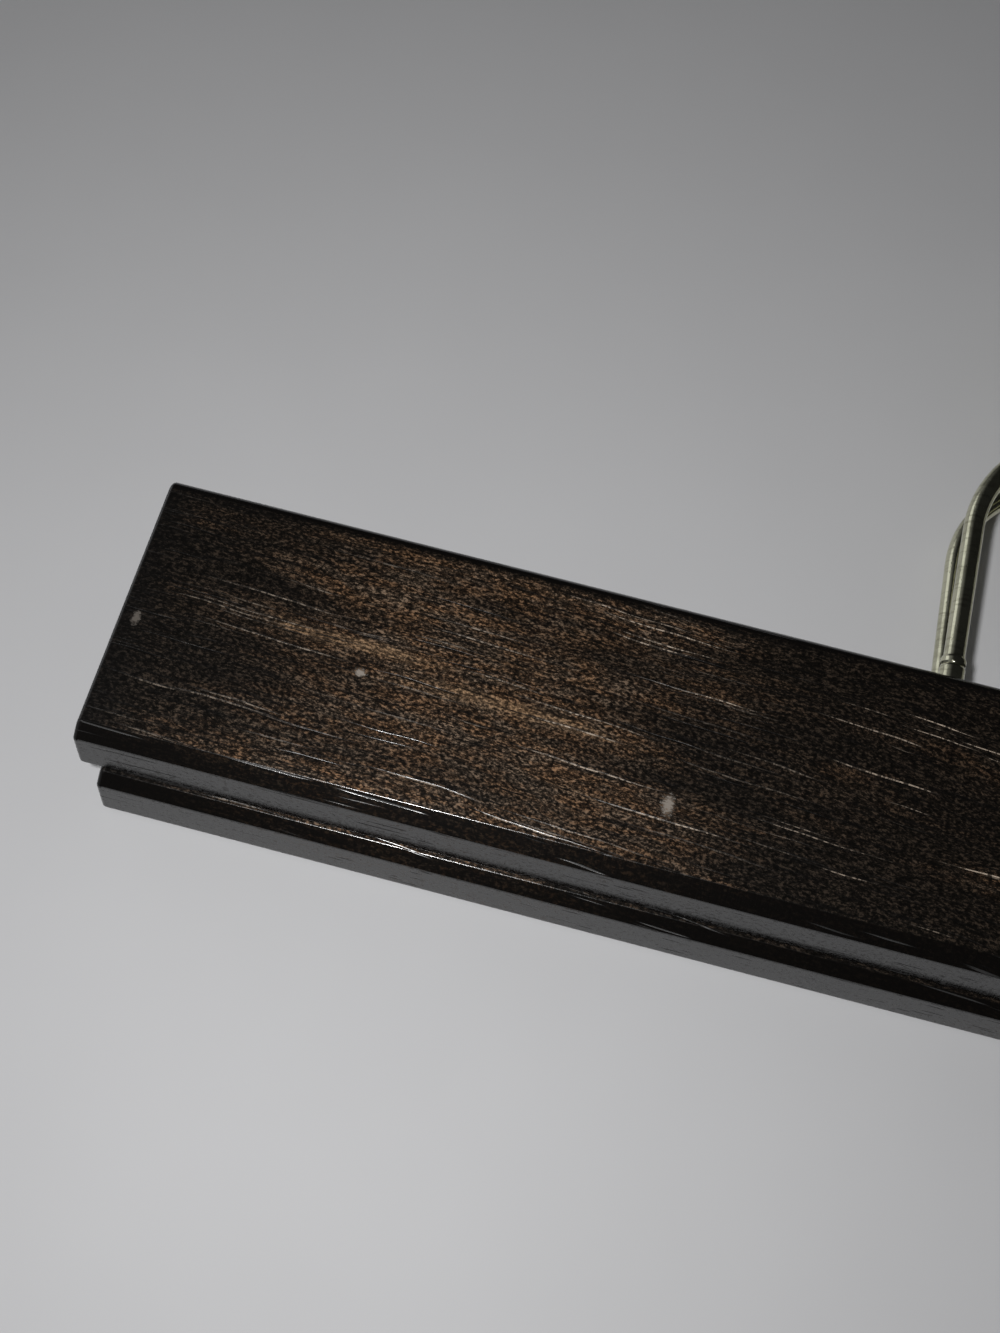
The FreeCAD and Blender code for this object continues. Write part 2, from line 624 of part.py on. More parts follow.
def felt(side):
    """The felt lining in a jaw's recess."""
    strip = box(f"{side}_felt", "felt_length", "felt_height", "felt_thickness")
    shift = "side_offset" if side == "back" else "-side_offset"
    floor = "jaw_thickness - felt_recess" if side == "back" else "front_floor - felt_proud"
    return place(strip, f"{shift} - felt_length / 2", "felt_bottom", floor)


def half(side):
    """One half of the hanger: the jaw with its felt, bail, ferrules, hinge leaves and their screws."""
    front = (side == "front")
    shift = "-side_offset" if front else "side_offset"
    lift = "front_floor + jaw_thickness / 2" if front else "jaw_thickness / 2"
    splay = "splay_angle" if front else "-splay_angle"
    bar = ("front_floor", "front_face", "jaw_length") if front else (None, "jaw_thickness", "back_length")
    block = jaw_block(side, *bar)
    cuts = hinge_cuts(side, "front_floor" if front else "jaw_thickness", 1 if front else -1)
    cuts += leg_bores(side, shift, lift, splay)
    pieces = [cut(f"{side}_jaw", block, joined("MultiFuse", f"{side}_cuts", cuts)), felt(side)]
    pieces.append(bail(side, shift, lift, splay))
    for end in ("left", "right"):
        pieces.append(ferrule(side, end, shift, lift, splay))
        pieces.append(leaf(side, end))
    pieces.append(leaf_screws(side))
    return pieces


def hinge():
    """What sits on the rod between the jaws, and the hook."""
    rod = cylinder("hinge_rod", "rod_radius", "rod_half * 2")
    pieces = [place(rod, "-rod_half", "rod_line", "mid_plane", Y_AXIS, str(QUARTER_TURN))]
    for end in ("left", "right"):
        pieces.append(rod_cap(end))
        pieces.append(spring(end))
    return pieces + [yoke(), washer(), hook()]


subparts = half("front") + half("back") + hinge()
document.recompute()
for item in document.Objects:
    if "Invalid" in item.State or "Error" in item.State:
        raise RuntimeError(f"{item.Label} did not build")
for item in subparts:
    if item.Shape.isNull() or not item.Shape.isValid():
        raise RuntimeError(f"{item.Label} has no valid shape")

os.makedirs("parts", exist_ok=True)
for item in subparts:
    item.Shape.exportStep(f"parts/{item.Label}.step")
print(f"{len(subparts)} sub-parts written")
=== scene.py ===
# %% [markdown]
# # A wooden trouser hanger
# The lesson dresses a finished engineering model: every solid is already in its place, in metres.
# We load it, look at what it holds, give each piece its finish, and build what solids can't show:
# the pressed felt of the linings and the screws with their cross slots.

# %% Load the frame
import math
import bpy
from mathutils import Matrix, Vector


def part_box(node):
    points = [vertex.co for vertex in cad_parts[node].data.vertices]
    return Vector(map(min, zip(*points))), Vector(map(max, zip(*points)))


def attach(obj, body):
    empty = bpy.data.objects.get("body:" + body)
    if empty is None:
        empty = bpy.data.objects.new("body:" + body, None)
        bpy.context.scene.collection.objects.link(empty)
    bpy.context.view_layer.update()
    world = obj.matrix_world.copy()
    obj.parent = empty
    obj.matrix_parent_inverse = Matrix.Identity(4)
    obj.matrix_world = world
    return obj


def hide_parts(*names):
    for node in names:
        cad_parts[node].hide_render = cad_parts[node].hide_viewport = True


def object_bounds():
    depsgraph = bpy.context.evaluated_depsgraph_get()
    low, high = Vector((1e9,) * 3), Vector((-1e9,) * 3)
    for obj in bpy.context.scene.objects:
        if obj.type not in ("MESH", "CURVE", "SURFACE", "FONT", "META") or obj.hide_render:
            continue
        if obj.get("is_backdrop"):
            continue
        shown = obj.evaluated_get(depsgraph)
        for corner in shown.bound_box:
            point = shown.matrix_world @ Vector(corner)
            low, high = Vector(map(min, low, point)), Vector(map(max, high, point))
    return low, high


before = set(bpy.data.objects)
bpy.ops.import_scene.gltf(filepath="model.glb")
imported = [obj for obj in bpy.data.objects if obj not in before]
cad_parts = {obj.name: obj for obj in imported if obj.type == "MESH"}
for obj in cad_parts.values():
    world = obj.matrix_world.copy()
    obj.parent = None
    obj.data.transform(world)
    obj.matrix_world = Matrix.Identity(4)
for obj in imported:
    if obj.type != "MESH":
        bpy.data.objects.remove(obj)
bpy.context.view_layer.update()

from types import SimpleNamespace

import bmesh
import bpy
from mathutils import Quaternion, Vector

MM = 0.001
print("nodes:", len(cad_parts))

# %% [markdown]
# ## Two helpers for shader trees
# A procedural finish is a graph of small nodes. Written out one by one, a graph hides its own idea,
# so one helper makes a node and fills its sockets in a single line: a plain value is set, and the
# socket of another node is linked. The second helper covers the most common step, arithmetic.

# %% Shader helpers
def node(tree, kind, inputs=(), **settings):
    """A new node: settings are its properties, inputs its sockets by name or by number."""
    made = tree.nodes.new(kind)
    for name, value in settings.items():
        setattr(made, name, value)
    for key, value in inputs.items() if isinstance(inputs, dict) else enumerate(inputs):
        if isinstance(value, bpy.types.NodeSocket):
            tree.links.new(value, made.inputs[key])
        elif value is not None:
            made.inputs[key].default_value = value
    return made


def math_node(tree, operation, *values, clamp=False):
    """The result of one arithmetic step."""
    return node(tree, "ShaderNodeMath", values, operation=operation, use_clamp=clamp).outputs[0]


def step(tree, value, start, end, low=0.0, high=1.0):
    """A smooth ramp from low at start to high at end."""
    ramp = {"Value": value, "From Min": start, "From Max": end, "To Min": low, "To Max": high}
    return node(tree, "ShaderNodeMapRange", ramp, interpolation_type="SMOOTHSTEP").outputs[0]


MIX_SOCKETS = {"FLOAT": (2, 3, 0), "VECTOR": (4, 5, 1), "RGBA": (6, 7, 2)}


def mix(tree, share, first, second, kind="RGBA"):
    """One colour, number or vector laid over another by a share from 0 to 1."""
    under, over, result = MIX_SOCKETS[kind]
    sockets = {0: share, under: first, over: second}
    return node(tree, "ShaderNodeMix", sockets, data_type=kind).outputs[result]


def finish(name):
    """A new material, with its tree, its shader and the Object coordinates that patterns lie on."""
    material = bpy.data.materials.new(name)
    material.use_nodes = True
    tree = material.node_tree
    place = node(tree, "ShaderNodeTexCoord").outputs["Object"]
    return material, tree, tree.nodes["Principled BSDF"], place


def stretched_noise(tree, place, pitch, detail=2.0, roughness=0.5, offset=(0.0, 0.0, 0.0)):
    """Noise whose grains are pitch long along X, Y and Z, in metres."""
    scale = tuple(1.0 / length for length in pitch)
    mapped = node(tree, "ShaderNodeMapping", {"Vector": place, "Scale": scale, "Location": offset})
    grains = {"Vector": mapped.outputs[0], "Scale": 1.0, "Detail": detail, "Roughness": roughness}
    return node(tree, "ShaderNodeTexNoise", grains).outputs[0]


print("shader helpers ready")

# %% [markdown]
# ## Stained wood
# The jaws are open-pored wood under a nearly black stain and a thick lacquer. On the broad faces the lacquer
# follows the fibres: close up it is a salt-and-pepper of brown specks, with drawn-out golden and black
# streaks, and with long pores. The specks' bright ends are partly the wood's flecks and partly painted
# glints, and the pores carry a painted highlight in broken lines with painted shade beside it. On the facets
# of the lower edges it has flowed smooth, so they mirror, and only black slits are left of the pores.
# An image would repeat and would need unwrapping. Noise read from Object coordinates and squeezed across
# the grain runs through the solid as real wood does, so the ends come out right by themselves.

# %% Grain helpers
GRAIN_SLANT = 0.055
SWAY_PITCH = 90 * MM, 40 * MM, 40 * MM
SWAY_REACH = 9 * MM
WOBBLE_PITCH = 13 * MM, 5 * MM, 5 * MM
WOBBLE_REACH = 1.1 * MM
DEPTH_SHARE = 0.35


def bent_grain(tree, place):
    """Coordinates that run off slowly and wander a little across the grain, so that lines aren't ruled."""
    sway = stretched_noise(tree, place, SWAY_PITCH, detail=1.0)
    wobble = stretched_noise(tree, place, WOBBLE_PITCH, detail=1.0)
    shift = math_node(tree, "MULTIPLY", math_node(tree, "SUBTRACT", sway, 0.5), SWAY_REACH)
    shift = math_node(tree, "MULTIPLY_ADD", wobble, WOBBLE_REACH, shift)
    split = node(tree, "ShaderNodeSeparateXYZ", [place]).outputs
    slant = math_node(tree, "MULTIPLY_ADD", split[0], GRAIN_SLANT, split[1])
    height = math_node(tree, "ADD", slant, shift)
    depth = math_node(tree, "ADD", split[2], math_node(tree, "MULTIPLY", shift, DEPTH_SHARE))
    return node(tree, "ShaderNodeCombineXYZ", [split[0], height, depth]).outputs[0], split


def spindles(tree, grain, pitch, offset):
    """Long thin spindles round scattered points: the distance from the nearest, and its own random share."""
    scale = tuple(1.0 / length for length in pitch)
    mapped = node(tree, "ShaderNodeMapping", {"Vector": grain, "Scale": scale, "Location": offset})
    cells = node(tree, "ShaderNodeTexVoronoi", {"Vector": mapped.outputs[0], "Scale": 1.0})
    own = node(tree, "ShaderNodeSeparateColor", {"Color": cells.outputs["Color"]}).outputs[0]
    return cells.outputs["Distance"], own


def product(tree, *shares):
    """Several shares multiplied."""
    result = shares[0]
    for share in shares[1:]:
        result = math_node(tree, "MULTIPLY", result, share)
    return result


def without(tree, share):
    """What a share leaves of the whole."""
    return math_node(tree, "SUBTRACT", 1.0, share)


print("grain helpers ready")

# %% [markdown]
# ### The patterns of one board
# Every layer of the finish asks the same questions of a point. How bright is its speck? Is it on a broad
# face or on an edge? Is the board warm here and painted with sheen, and is there a pore? They are answered
# once for each jaw and kept together, so that colour, gloss and relief agree with each other.

# %% Warm places with a painted sheen, rims and patches
# The wave puts a painted sheen into the colour: the face is painted warmer and brighter round the crest,
# where the lacquer's sheen lies. The clouds add the wood's own brown.
WARM_AND_SHEEN_WAVE = 138 * MM
WARM_AND_SHEEN_CREST = -96 * MM
WAVE_SHARE = 0.2
CLOUD_PITCH = 52 * MM, 8 * MM, 9 * MM
RIM_REACH = 9 * MM
# Along the top edge the dark band is a painted dark reflection of the rounded edge.
TOP_DARK_REFLECTION = 3.4 * MM, 1.6 * MM
RAGGEDNESS = 2.4


def warm_and_sheen_share(tree, grain, along):
    """Where the board shows its brown and where a sheen of the lacquer is painted in: a slow wave along it,
    broken into drawn-out clouds.
    """
    past = math_node(tree, "SUBTRACT", along, WARM_AND_SHEEN_CREST)
    turn = math_node(tree, "MULTIPLY", past, math.tau / WARM_AND_SHEEN_WAVE)
    wave = math_node(tree, "MULTIPLY", math_node(tree, "COSINE", turn), WAVE_SHARE)
    cloud = stretched_noise(tree, grain, CLOUD_PITCH, detail=4.0, roughness=0.6)
    return step(tree, math_node(tree, "ADD", cloud, wave), 0.34, 0.8)


def rim_share(tree, split, low, high):
    """How near a point is to a jaw's outline: 1 at the ends and along the top edge, 0 inside. The band along
    the top edge takes a painted dark reflection of the rounded edge; at the ends the wood is only darker.
    """
    first = step(tree, split[0], low[0] + RIM_REACH, low[0])
    last = step(tree, split[0], high[0] - RIM_REACH, high[0])
    upper = step(tree, split[1], high[1] - TOP_DARK_REFLECTION[0], high[1] - TOP_DARK_REFLECTION[1])
    return math_node(tree, "MAXIMUM", math_node(tree, "MAXIMUM", first, last), upper)


def patch_share(tree, place, ragged, patch):
    """A ragged patch on the surface, from its middle, its half sizes along X and Y, and its strength."""
    middle, half_long, half_high, strength = patch
    halves = half_long, half_high, half_high
    scaled = {"Vector": place, "Scale": tuple(1 / half for half in halves)}
    scaled["Location"] = tuple(-centre / half for centre, half in zip(middle, halves))
    away = node(tree, "ShaderNodeVectorMath", [node(tree, "ShaderNodeMapping", scaled).outputs[0]],
                operation="LENGTH").outputs["Value"]
    return step(tree, math_node(tree, "MULTIPLY_ADD", ragged, RAGGEDNESS, away), 2.3, 1.6, 0.0, strength)


print("warm wave, mm:", round(WARM_AND_SHEEN_WAVE / MM))

# %% Read a board
SPECK_PITCH = 0.74 * MM, 0.42 * MM, 0.42 * MM
FIBRE_PITCH = 11 * MM, 0.5 * MM, 0.5 * MM
SLIT_PITCH = 46 * MM, 0.75 * MM, 0.75 * MM
PORE_PITCH = 62 * MM, 0.68 * MM, 0.68 * MM
BROW_RISE = 3.25 * MM
BROW_BREADTH = 0.14 * MM
NOSE_RISE = 1.05 * MM
FACE_SKIN = 0.12 * MM, 0.04 * MM


def read_board(tree, place, jaw, rubbed):
    """The patterns of one jaw. The crease of its lower edge lies rubbed metres over the solid's own brow."""
    low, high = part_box(jaw)
    grain, split = bent_grain(tree, place)
    crease = low[1] + BROW_RISE + rubbed
    nose = low[1] + NOSE_RISE
    above = step(tree, split[1], crease - BROW_BREADTH, crease + BROW_BREADTH)
    upper = step(tree, split[2], high[2] - FACE_SKIN[0], high[2] - FACE_SKIN[1])
    lower = step(tree, split[2], low[2] + FACE_SKIN[0], low[2] + FACE_SKIN[1])
    rim = rim_share(tree, split, low, high)
    slit_away, slit_own = spindles(tree, grain, SLIT_PITCH, (5.0, 2.0, 3.0))
    pore_away, pore_own = spindles(tree, grain, PORE_PITCH, (1.0, 8.0, 4.0))
    return SimpleNamespace(
        tree=tree, place=place, grain=grain, split=split, low=low, high=high, crease=crease, rim=rim,
        pore_away=pore_away, pore_own=pore_own,
        face=product(tree, math_node(tree, "MAXIMUM", upper, lower), above),
        foot=step(tree, split[1], nose + BROW_BREADTH, nose - BROW_BREADTH),
        speck=stretched_noise(tree, grain, SPECK_PITCH, detail=2.0, roughness=0.75),
        fibre=stretched_noise(tree, grain, FIBRE_PITCH, detail=3.0, roughness=0.6),
        # warm: the board's warm tone together with the painted sheen
        warm=product(tree, warm_and_sheen_share(tree, grain, split[0]), without(tree, rim)),
        slit=product(tree, step(tree, slit_away, 0.24, 0.1), step(tree, slit_own, 0.1, 0.5)))


print("brow over a jaw's foot, mm:", round(BROW_RISE / MM, 2))

# %% [markdown]
# ### Colour
# The face is painted brightest where the board is warm and where a sheen of the lacquer is painted in, so the
# specks have pairs of colours for dark, warm and greyish places, and slow noise chooses between them.
# Everything else is laid over that: streaks, pores with a painted highlight and painted shade beside them, a
# darker rim at the outline that is a painted dark reflection along the top edge, and a few spots where the
# finish is chipped.

# %% Wood colour
# Black stain, also used to paint shade beside the pores and a dark reflection along the top edge.
BLACK_STAIN_AND_SHADE = 0.003, 0.0025, 0.0022, 1
# The bright end of each speck pair is partly the wood's fleck and partly a painted glint of the lacquer.
DARK_SPECKS = (0.0018, 0.0015, 0.0012, 1), (0.037, 0.026, 0.0176, 1)
WARM_SPECKS = (0.0024, 0.0016, 0.0011, 1), (0.3, 0.166, 0.085, 1)
GREY_SPECKS = (0.0022, 0.0017, 0.0013, 1), (0.25, 0.174, 0.117, 1)
GOLD_STREAK = 0.36, 0.225, 0.125, 1
# The pores' painted highlight: the lit side of each groove, painted pale in broken lines.
PORE_HIGHLIGHT = 0.5, 0.405, 0.315, 1
CHIPPED = 0.29, 0.255, 0.22, 1
SPECK_CONTRAST = 14.5, -9.15
TONE_PITCH = 7 * MM, 2 * MM, 2 * MM
GOLD_PITCH = 40 * MM, 1.7 * MM, 2.6 * MM
DASH_PITCH = 0.7 * MM, 2 * MM, 2 * MM
PORES_START = 12 * MM, 48 * MM


def speckled(board, streaks):
    """The face's ground: specks in three pairs of colours, partly the wood's flecks and partly painted
    glints, with golden streaks and black ones.
    """
    tree, grain = board.tree, board.grain
    power = math_node(tree, "MULTIPLY_ADD", board.speck, *SPECK_CONTRAST)
    # lit: the bright share of a speck, partly the wood's fleck and partly a painted glint.
    lit = math_node(tree, "EXPONENT", power, clamp=True)
    dark, warm, grey = (mix(tree, lit, *pair) for pair in (DARK_SPECKS, WARM_SPECKS, GREY_SPECKS))
    tone = stretched_noise(tree, grain, TONE_PITCH, detail=3.0, roughness=0.7, offset=(6.0, 3.0, 2.0))
    # Warm and grey specks are chosen where the board is warm and where it carries the painted sheen.
    colour = mix(tree, board.warm, dark, mix(tree, step(tree, tone, 0.38, 0.62), warm, grey))
    golden = stretched_noise(tree, grain, GOLD_PITCH, detail=2.0, offset=(3.0, 1.0, 7.0))
    gold = product(tree, step(tree, golden, 0.6, 0.74, 0.0, 0.5), board.warm, lit)
    glow = math_node(tree, "MULTIPLY_ADD", lit, 1.3, 0.08)
    for streak in streaks:
        shown = product(tree, patch_share(tree, grain, board.fibre, streak), glow)
        gold = math_node(tree, "MAXIMUM", gold, shown)
    colour = mix(tree, gold, colour, GOLD_STREAK)
    return mix(tree, step(tree, board.fibre, 0.5, 0.34, 0.0, 0.85), colour, BLACK_STAIN_AND_SHADE)


def wood_colour(board, chips, streaks):
    """The ground with its slits, the pores' painted highlight and the painted shade beside them, the darkened
    rim and edges with a painted dark reflection along the top edge, and the chips.
    """
    tree, rim, face = board.tree, board.rim, board.face
    dash = stretched_noise(tree, board.grain, DASH_PITCH, detail=2.0, roughness=0.7)
    start = [board.low[0] + reach for reach in PORES_START]
    dashed = product(tree, step(tree, dash, 0.42, 0.6, 0.1), step(tree, board.pore_own, 0.0, 0.7, 0.15),
                     step(tree, board.split[0], *start, 0.4, 1.0))
    pore = product(tree, step(tree, board.pore_away, 0.21, 0.09), dashed, without(tree, rim), face)
    # hollow: painted shade beside each pore.
    hollow = step(tree, board.pore_away, 0.34, 0.16)
    colour = speckled(board, streaks)
    for share, strength in ((board.slit, 0.85), (hollow, 0.6)):
        colour = mix(tree, product(tree, share, strength), colour, BLACK_STAIN_AND_SHADE)
    # The pores' painted highlight.
    colour = mix(tree, pore, colour, PORE_HIGHLIGHT)
    # The rim is painted dark: along the top edge this is a painted dark reflection of the rounded edge, at
    # the ends only darker wood. The edges off the faces are darkened too.
    for share, strength in ((rim, 0.75), (without(tree, face), 0.9)):
        colour = mix(tree, product(tree, share, strength), colour, BLACK_STAIN_AND_SHADE)
    for chip in chips:
        colour = mix(tree, patch_share(tree, board.place, board.speck, chip), colour, CHIPPED)
    return colour


print("speck colours:", len(DARK_SPECKS + WARM_SPECKS + GREY_SPECKS))

# %% [markdown]
# ### Gloss and relief
# The lacquer mirrors on the facets, is a little broken up on the foot and the faces, and is dull on the end
# grain, which drinks it. The relief is shallow: specks, fibres and pores on the faces, ripples on the edges.
# The solid's brow is a small round, but the real one is so crisp that it shows as one bright line. A finer
# solid would still shade that line over several long thin faces, so the shading normal is worked out here
# from the three directions of face, facet and foot, and turns from one to the next in a few tenths.

# %% Gloss
def wood_gloss(board):
    """Roughness on the faces, the lower edge and the ends of a jaw."""
    tree, speck, slit = board.tree, board.speck, board.slit
    on_face = step(tree, speck, 0.35, 0.7, 0.2, 0.3)
    mottled = product(tree, step(tree, speck, 0.46, 0.7, 0.0, 0.3), board.foot)
    on_edge = math_node(tree, "ADD", math_node(tree, "ADD", 0.14, mottled), product(tree, slit, 0.5))
    lacquer = mix(tree, board.face, on_edge, on_face, kind="FLOAT")
    facing = node(tree, "ShaderNodeSeparateXYZ", [node(tree, "ShaderNodeNewGeometry").outputs["Normal"]])
    end = step(tree, math_node(tree, "ABSOLUTE", facing.outputs[0]), 0.75, 0.95)
    on_end = math_node(tree, "ADD", step(tree, speck, 0.35, 0.7, 0.3, 0.55), product(tree, slit, 0.4))
    return mix(tree, end, lacquer, on_end, kind="FLOAT")


print("gloss ready")

# %% Relief
FACET_LEAN = math.atan2(1.2, 2.2)
FOOT_LEAN = math.atan2(8.0, 1.05)
RIPPLE_PITCH = 0.3 * MM, 8 * MM, 8 * MM
BUMP_DEPTH = 0.12 * MM
END_MARGIN = 0.8 * MM, 1.0 * MM
INNER_MARGIN = 1.4 * MM, 1.7 * MM
FACE_MARGIN = 2.0 * MM, 1.8 * MM


def brow_normal(board):
    """The surface's direction on the lower edge, which turns crisply from face to facet and to foot."""
    tree, split, low, high = board.tree, board.split, board.low, board.high
    crease = board.crease
    lean = step(tree, split[1], crease + BROW_BREADTH, crease - BROW_BREADTH, 0.0, FACET_LEAN)
    under = math_node(tree, "MULTIPLY", board.foot, FOOT_LEAN - FACET_LEAN)
    lean = math_node(tree, "ADD", lean, under)
    back = math_node(tree, "MULTIPLY", math_node(tree, "SINE", lean), -1.0)
    crisp = node(tree, "ShaderNodeCombineXYZ", [0.0, back, math_node(tree, "COSINE", lean)]).outputs[0]
    turned = node(tree, "ShaderNodeVectorTransform", [crisp], vector_type="NORMAL", convert_from="OBJECT",
                  convert_to="WORLD").outputs[0]
    zone = product(tree, step(tree, split[0], *(low[0] + margin for margin in END_MARGIN)),
                   step(tree, split[0], *(high[0] - margin for margin in END_MARGIN)),
                   step(tree, split[2], *(low[2] + margin for margin in INNER_MARGIN)),
                   step(tree, split[1], *(crease + margin for margin in FACE_MARGIN)))
    own = node(tree, "ShaderNodeNewGeometry").outputs["Normal"]
    return mix(tree, zone, own, turned, kind="VECTOR")


def wood_relief(board):
    """The bumped normal of a jaw."""
    tree, face = board.tree, board.face
    skin = math_node(tree, "ADD", product(tree, board.speck, 0.5), product(tree, board.fibre, 0.3))
    hollow = product(tree, step(tree, board.pore_away, 0.3, 0.1), 0.6)
    skin = product(tree, math_node(tree, "SUBTRACT", skin, hollow), face)
    ripple = stretched_noise(tree, board.grain, RIPPLE_PITCH, detail=1.0)
    skin = math_node(tree, "ADD", skin, product(tree, ripple, without(tree, face), 0.45))
    height = math_node(tree, "SUBTRACT", skin, product(tree, board.slit, 0.6))
    relief = {"Height": height, "Strength": 0.4, "Distance": BUMP_DEPTH, "Normal": brow_normal(board)}
    return node(tree, "ShaderNodeBump", relief).outputs[0]


print("facet leans, degrees:", round(math.degrees(FACET_LEAN), 1))

# %% The two jaws' wood
LACQUER_IOR = 1.65
FACE_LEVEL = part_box("front_jaw")[1][2]
FRONT_RUBBED, BACK_RUBBED = 0.62 * MM, -0.09 * MM


def stained_wood(name, jaw, rubbed, chips=(), streaks=()):
    """A jaw's finish. Chips and streaks are patches: a middle, half sizes along X and Y, and a strength."""
    material, tree, shader, place = finish(name)
    board = read_board(tree, place, jaw, rubbed)
    tree.links.new(wood_colour(board, chips, streaks), shader.inputs["Base Color"])
    tree.links.new(wood_gloss(board), shader.inputs["Roughness"])
    tree.links.new(wood_relief(board), shader.inputs["Normal"])
    shader.inputs["IOR"].default_value = LACQUER_IOR
    return material


def face_patch(x, y, half_long, half_high, strength):
    """A patch on the front jaw's face, in millimetres."""
    return (x * MM, y * MM, FACE_LEVEL), half_long * MM, half_high * MM, strength


front_chips = [face_patch(-62.7, -9.8, 1.0, 1.8, 0.9), face_patch(-112.9, -1.3, 0.9, 0.7, 1.0),
               face_patch(-148.5, -1.6, 0.7, 1.4, 0.4)]
front_streaks = [face_patch(-116.0, -3.4, 17.0, 1.4, 1.0), face_patch(-88.0, -6.4, 19.0, 1.3, 0.9)]
front_wood = stained_wood("stained_wood_front", "front_jaw", FRONT_RUBBED, front_chips, front_streaks)
back_wood = stained_wood("stained_wood_back", "back_jaw", BACK_RUBBED)
print("wood shader nodes:", len(front_wood.node_tree.nodes))

# %% [markdown]
# ## Metals
# The bails and the hook are brass-plated wire, the hinge is zinc-plated sheet, and the springs are dark
# oiled wire. A metal's colour is all in its reflection, so each gets a tint and a darker tarnish, a low
# roughness that varies with handling, and a fine bump from drawing or rolling. Flat colour would look like
# paint. The bails' bump runs across the wire, as drawn and plated wire has it after bending.

# %% Metal finishes
PATCH_PITCH = 5 * MM, 5 * MM, 5 * MM
PIT_PITCH = 0.5 * MM, 0.5 * MM, 0.5 * MM


def metal(name, tint, tarnish, roughness, grain_pitch, bump_depth):
    """A metal with tarnish in soft patches, and a fine bump of the given pitch along X, Y and Z."""
    material, tree, shader, place = finish(name)
    patch = stretched_noise(tree, place, PATCH_PITCH, detail=4.0, roughness=0.65)
    fine = stretched_noise(tree, place, grain_pitch, detail=2.0, roughness=0.6)
    pits = stretched_noise(tree, place, PIT_PITCH, detail=2.0, offset=(4.0, 4.0, 4.0))
    colour = tint
    for pattern, start, end, strength in ((patch, 0.42, 0.72, 0.8), (fine, 0.52, 0.68, 0.6),
                                          (pits, 0.64, 0.74, 0.7)):
        colour = mix(tree, step(tree, pattern, start, end, 0.0, strength), colour, tarnish)
    tree.links.new(colour, shader.inputs["Base Color"])
    shader.inputs["Metallic"].default_value = 1.0
    level = step(tree, patch, 0.3, 0.75, roughness * 0.75, roughness * 1.5)
    tree.links.new(level, shader.inputs["Roughness"])
    height = math_node(tree, "SUBTRACT", fine, product(tree, step(tree, pits, 0.62, 0.74), 0.6))
    bump = node(tree, "ShaderNodeBump", {"Height": height, "Strength": 0.25, "Distance": bump_depth})
    tree.links.new(bump.outputs[0], shader.inputs["Normal"])
    return material


FINE_GRAIN = 0.6 * MM, 0.6 * MM, 0.6 * MM
CROSS_GRAIN = 4 * MM, 0.7 * MM, 4 * MM
ROLLED_GRAIN = 4 * MM, 0.3 * MM, 0.3 * MM
PLATING = 0.72, 0.71, 0.54, 1
brass = metal("brass_wire", PLATING, (0.36, 0.35, 0.25, 1), 0.11, CROSS_GRAIN, 0.09 * MM)
hook_brass = metal("brass_hook", PLATING, (0.42, 0.41, 0.3, 1), 0.11, FINE_GRAIN, 0.02 * MM)
zinc = metal("plated_steel", (0.62, 0.62, 0.61, 1), (0.4, 0.39, 0.37, 1), 0.26, ROLLED_GRAIN, 0.03 * MM)
spring_steel = metal("spring_steel", (0.3, 0.29, 0.28, 1), (0.13, 0.11, 0.09, 1), 0.3, FINE_GRAIN, 0.02 * MM)
print("metals:", brass.name, hook_brass.name, zinc.name, spring_steel.name)

# %% [markdown]
# ## Felt linings
# A strip of pressed felt lies in a recess of each jaw and holds the cloth. Felt has no weave: it is a mat
# of short fibres, with a soft cut edge. Painting fibres on a box would leave a razor-sharp edge, so the
# strip is a rounded slab with an uneven nap, and Geometry Nodes scatter loose fibres that lie on it.

# %% Felt material
MOTTLE_PITCH = 3 * MM, 3 * MM, 3 * MM
WOOL_PITCH = 0.25 * MM, 0.25 * MM, 0.25 * MM
DARK_WOOL = (0.018, 0.016, 0.015, 1), (0.045, 0.04, 0.037, 1)
PALE_FIBRE = 0.12, 0.11, 0.1, 1


def felt_finish():
    """Wool felt: mottled dark fibres with a soft sheen."""
    material, tree, shader, place = finish("felt")
    mottle = stretched_noise(tree, place, MOTTLE_PITCH, detail=4.0, roughness=0.7)
    fibre = stretched_noise(tree, place, WOOL_PITCH, detail=3.0, roughness=0.8)
    colour = mix(tree, step(tree, mottle, 0.35, 0.7), *DARK_WOOL)
    colour = mix(tree, step(tree, fibre, 0.55, 0.75, 0.0, 0.6), colour, PALE_FIBRE)
    tree.links.new(colour, shader.inputs["Base Color"])
    shader.inputs["Roughness"].default_value = 0.95
    shader.inputs["Sheen Weight"].default_value = 0.35
    shader.inputs["Sheen Roughness"].default_value = 0.5
    bump = node(tree, "ShaderNodeBump", {"Height": fibre, "Strength": 0.6, "Distance": 0.15 * MM})
    tree.links.new(bump.outputs[0], shader.inputs["Normal"])
    return material


felt = felt_finish()
print("felt shader nodes:", len(felt.node_tree.nodes))

# %% Tree helpers
def new_tree(name, inputs):
    """A Geometry Nodes tree with geometry in and out and more named inputs, and the inputs' sockets."""
    tree = bpy.data.node_groups.new(name, "GeometryNodeTree")
    for way in ("INPUT", "OUTPUT"):
        tree.interface.new_socket("Geometry", in_out=way, socket_type="NodeSocketGeometry")
    for title, kind in inputs.items():
        tree.interface.new_socket(title, in_out="INPUT", socket_type=f"NodeSocket{kind}")
    return tree, node(tree, "NodeGroupInput").outputs


def end_tree(tree, geometry, material):
    """Instances become real faces, take their material, and leave the tree."""
    real = node(tree, "GeometryNodeRealizeInstances", [geometry]).outputs[0]
    dressed = node(tree, "GeometryNodeSetMaterial", {"Geometry": real, "Material": material}).outputs[0]
    node(tree, "NodeGroupOutput", [dressed])
    return tree


print("tree helpers ready")

# %% Felt nap tree
NAP_SCALE = 900.0


